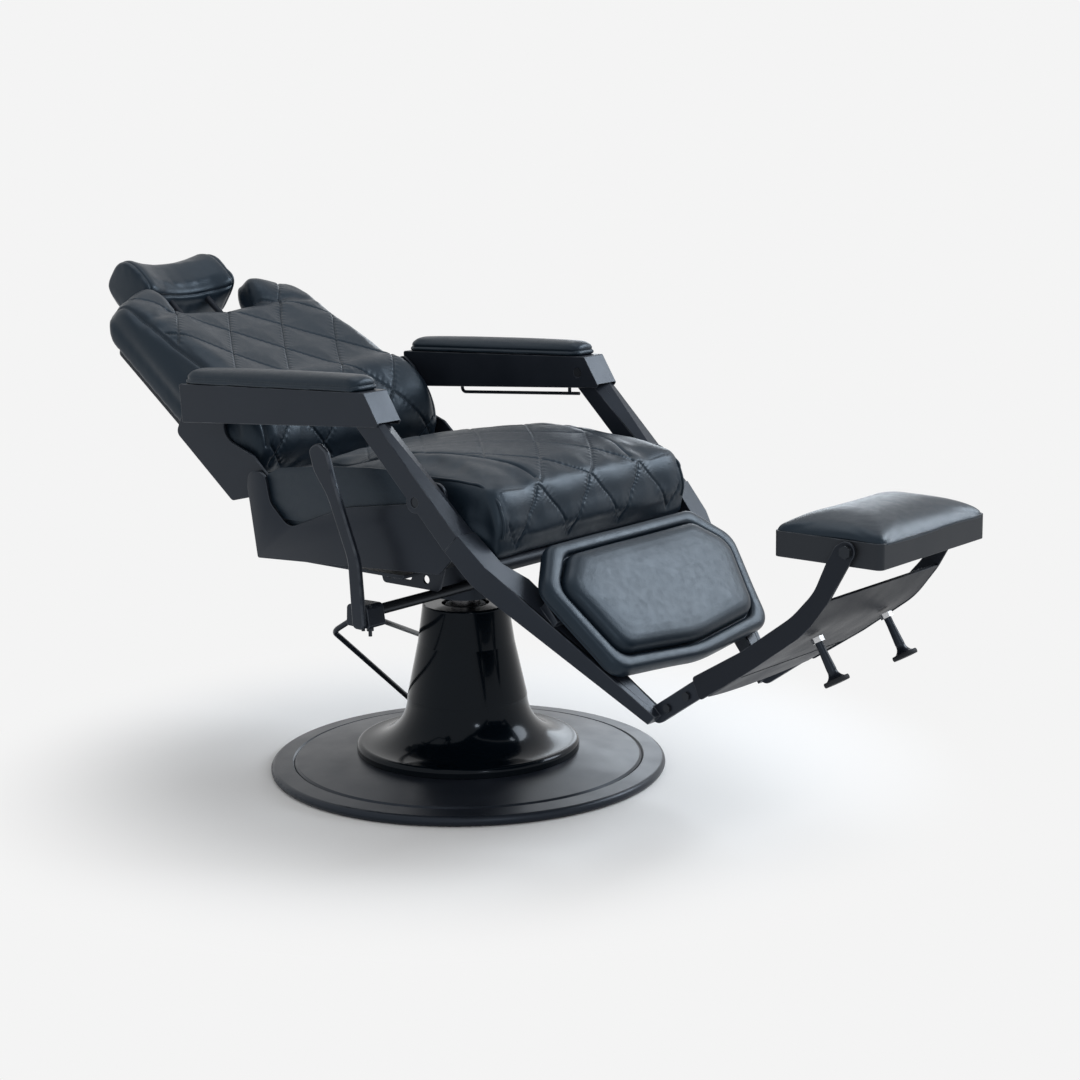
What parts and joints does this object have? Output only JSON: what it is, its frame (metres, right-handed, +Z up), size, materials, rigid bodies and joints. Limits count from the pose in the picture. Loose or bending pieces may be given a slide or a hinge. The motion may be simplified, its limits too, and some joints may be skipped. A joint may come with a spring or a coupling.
{
  "type": "barber chair",
  "caption": "Reclining barber chair: round base, trumpet pedestal with pump lift and swivel, quilted seat and back, headrest, padded armrests, calf pad and flip-over foot pad.",
  "frame": {"origin": "centre of the round base on the floor", "axes": "+Z up, the chair faces -Y, +X towards the sitter's left"},
  "size_m": [0.6799, 1.6808, 0.848],
  "materials": {
    "satin_black": "satin",
    "gloss_black": "gloss",
    "steel": "satin",
    "bronze": "satin",
    "rubber": "matt",
    "ply": "plain",
    "plastic": "matt",
    "upholstery": "soft sheen"
  },
  "bodies": {
    "base": {"base_plate": "satin_black", "base_rim": "satin_black", "base_cover": "satin_black", "pedestal_cone": "gloss_black", "pump_cylinder": "steel", "guide_bush": "bronze", "wiper_seal": "rubber", "flange_bolts": "steel"},
    "lift": {"ram": "steel", "thrust_washer": "bronze"},
    "seat": {"swivel_head": "satin_black", "seat_mount_plate": "satin_black", "mount_bolts": "steel", "side_panel_left": "satin_black", "side_panel_right": "satin_black", "seat_rails": "satin_black", "seat_board": "ply", "seat_cushion": "upholstery", "back_hinge_pins": "steel", "leg_pivot_pins": "steel", "strut_cylinder": "satin_black"},
    "strut_rod": {"strut_rod": "steel"},
    "backrest": {"hinge_tube": "satin_black", "back_bracket_left": "satin_black", "back_bracket_right": "satin_black", "armrest_rear_studs": "steel", "back_shell": "plastic", "headrest_guide": "plastic", "back_cushion": "upholstery"},
    "headrest": {"headrest_posts": "steel", "headrest_cushion": "upholstery"},
    "leg_frame": {"leg_upper_left": "satin_black", "leg_upper_right": "satin_black", "leg_lower_left": "satin_black", "leg_lower_right": "satin_black", "knee_tube": "satin_black", "calf_board": "ply", "calf_pad": "upholstery", "footrest_arm_left": "satin_black", "footrest_arm_right": "satin_black", "foot_tread": "satin_black", "link_bolts": "steel", "flip_pivot_bolts": "steel", "stabiliser_pegs": "satin_black", "peg_feet": "rubber", "peg_nuts": "steel", "armrest_front_pins": "steel"},
    "armrest_left": {"armrest_beam_left": "satin_black", "armrest_pad_left": "upholstery"},
    "armrest_right": {"armrest_beam_right": "satin_black", "armrest_pad_right": "upholstery"},
    "release_bar": {"release_bar": "satin_black"},
    "flip_pad": {"flip_pad_box": "plastic", "flip_pad_cushion": "upholstery"},
    "pump_lever": {"pump_shaft": "steel", "lever_clamp": "satin_black", "clamp_studs": "steel", "hand_lever": "satin_black", "foot_loop": "satin_black"}
  },
  "joints": [
    {"name": "lift_slide", "type": "slide", "parent": "base", "child": "lift", "axis": [0, 0, 1], "range_m": [0, 0.15]},
    {"name": "swivel", "type": "hinge", "parent": "lift", "child": "seat", "pos_m": [0, 0, 0.33], "axis": [0, 0, 1], "continuous": true},
    {"name": "recline", "type": "hinge", "parent": "seat", "child": "backrest", "pos_m": [0, 0.236, 0.506], "axis": [1, 0, 0], "range_deg": [0, 30]},
    {"name": "leg_swing", "type": "hinge", "parent": "seat", "child": "leg_frame", "pos_m": [0, -0.164, 0.525], "axis": [1, 0, 0], "range_deg": [0, 30]},
    {"name": "armrest_left_level", "type": "hinge", "parent": "leg_frame", "child": "armrest_left", "pos_m": [0, -0.05, 0.66], "axis": [1, 0, 0], "range_deg": [-30, 0]},
    {"name": "armrest_right_level", "type": "hinge", "parent": "leg_frame", "child": "armrest_right", "pos_m": [0, -0.05, 0.66], "axis": [1, 0, 0], "range_deg": [-30, 0]},
    {"name": "strut_stroke", "type": "slide", "parent": "seat", "child": "strut_rod", "axis": [0, 1, 0], "range_m": [0, 0.04659]},
    {"name": "headrest_height", "type": "slide", "parent": "backrest", "child": "headrest", "axis": [0, 0.7986, 0.6018], "range_m": [0, 0.08]},
    {"name": "flip_pad_turn", "type": "hinge", "parent": "leg_frame", "child": "flip_pad", "pos_m": [0, -0.858, 0.509], "axis": [1, 0, 0], "range_deg": [0, 180]},
    {"name": "pump_lever_stroke", "type": "hinge", "parent": "seat", "child": "pump_lever", "pos_m": [0, -0.04, 0.33], "axis": [1, 0, 0], "range_deg": [0, 15]},
    {"name": "release_pull", "type": "slide", "parent": "armrest_left", "child": "release_bar", "axis": [0, 0, 1], "range_m": [0, 0.008], "stiffness_N_per_m": 300}
  ],
  "couplings": [
    {"joint": "leg_swing", "follows": "recline", "ratio": 1},
    {"joint": "armrest_left_level", "follows": "recline", "ratio": -1},
    {"joint": "armrest_right_level", "follows": "recline", "ratio": -1},
    {"joint": "strut_stroke", "follows": "recline", "m_per_rad": 0.088975}
  ]
}
